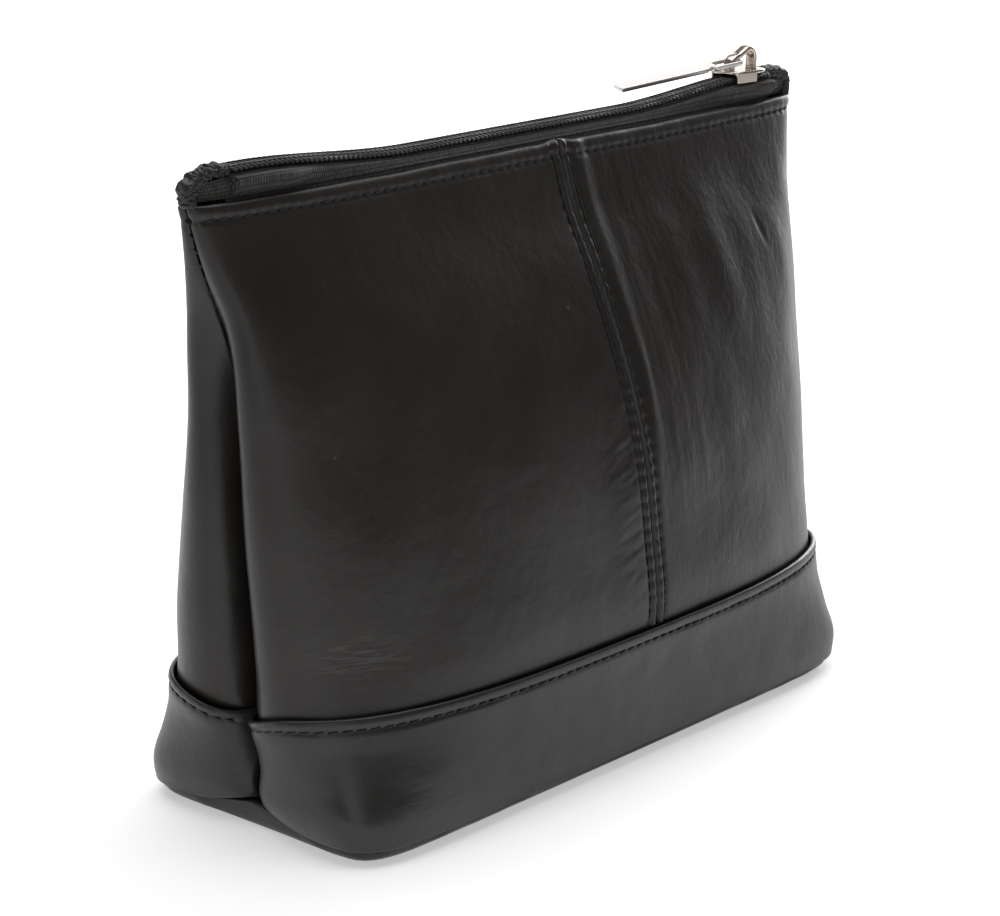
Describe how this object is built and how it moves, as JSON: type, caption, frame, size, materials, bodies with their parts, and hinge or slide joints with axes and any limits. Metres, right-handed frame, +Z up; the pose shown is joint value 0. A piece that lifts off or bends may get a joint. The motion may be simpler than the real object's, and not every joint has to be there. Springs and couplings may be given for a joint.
{
  "type": "cosmetic bag",
  "caption": "Zipped leather cosmetic bag with a flat boarded base, bulging walls, a lapped band round the foot, and a coil zip with a sliding metal slider and pull tab.",
  "frame": {"origin": "on the ground under the middle of the base", "axes": "+X along the mouth towards the closed end of the zip, where the slider rests, +Y from the front wall to the back wall, +Z up"},
  "size_m": [0.2062, 0.079, 0.1535],
  "materials": {
    "leather": "smooth black leather with a soft semi-gloss finish",
    "band_leather": "smooth black leather with a soft semi-gloss finish",
    "lining": "plain woven black lining",
    "board": "grey-brown stiffener board",
    "zip_tape": "black woven polyester zip tape",
    "zip_coil": "black nylon coil",
    "zip_end": "tape end bound with black thread",
    "nickel": "polished nickel plate"
  },
  "bodies": {
    "bag": {"front_left_panel": "leather", "front_right_panel": "leather", "back_panel": "leather", "front_band": "band_leather", "back_band": "band_leather", "base_panel": "leather", "base_board": "board", "lining_front": "lining", "lining_back": "lining", "lining_base": "lining", "zip_tape_front": "zip_tape", "zip_tape_back": "zip_tape", "tape_edge_front_left": "zip_tape", "tape_edge_back_left": "zip_tape", "tape_edge_front_right": "zip_tape", "tape_edge_back_right": "zip_tape", "coil_front_left": "zip_coil", "coil_back_left": "zip_coil", "coil_front_right": "zip_coil", "coil_back_right": "zip_coil", "zip_end_left": "zip_end", "zip_end_right": "zip_end"},
    "front_zip_edge": {"tape_edge_front_mid": "zip_tape", "coil_front_mid": "zip_coil"},
    "back_zip_edge": {"tape_edge_back_mid": "zip_tape", "coil_back_mid": "zip_coil"},
    "slider": {"slider_body": "nickel", "slider_bridge": "nickel"},
    "pull": {"pull_tab": "nickel"}
  },
  "joints": [
    {"name": "slider_slide", "type": "slide", "parent": "bag", "child": "slider", "axis": [-1, 0, 0], "range_m": [0, 0.1674], "deforming": ["tape_edge_front_left", "tape_edge_back_left", "tape_edge_front_mid", "tape_edge_back_mid", "tape_edge_front_right", "tape_edge_back_right", "coil_front_left", "coil_back_left", "coil_front_mid", "coil_back_mid", "coil_front_right", "coil_back_right"]},
    {"name": "pull_hinge", "type": "hinge", "parent": "slider", "child": "pull", "pos_m": [0.0832, 0, 0.15027], "axis": [0.5878, 0.809, 0], "range_deg": [0, 130]},
    {"name": "front_zip_parting", "type": "hinge", "parent": "bag", "child": "front_zip_edge", "pos_m": [0, -0.004, 0.1406], "axis": [1, 0, 0], "range_deg": [0, 80]},
    {"name": "back_zip_parting", "type": "hinge", "parent": "bag", "child": "back_zip_edge", "pos_m": [0, 0.004, 0.1406], "axis": [-1, 0, 0], "range_deg": [0, 80]}
  ],
  "couplings": [
    {"joint": "front_zip_parting", "follows": "slider_slide", "rad_per_m": 8.34},
    {"joint": "back_zip_parting", "follows": "slider_slide", "rad_per_m": 8.34}
  ]
}
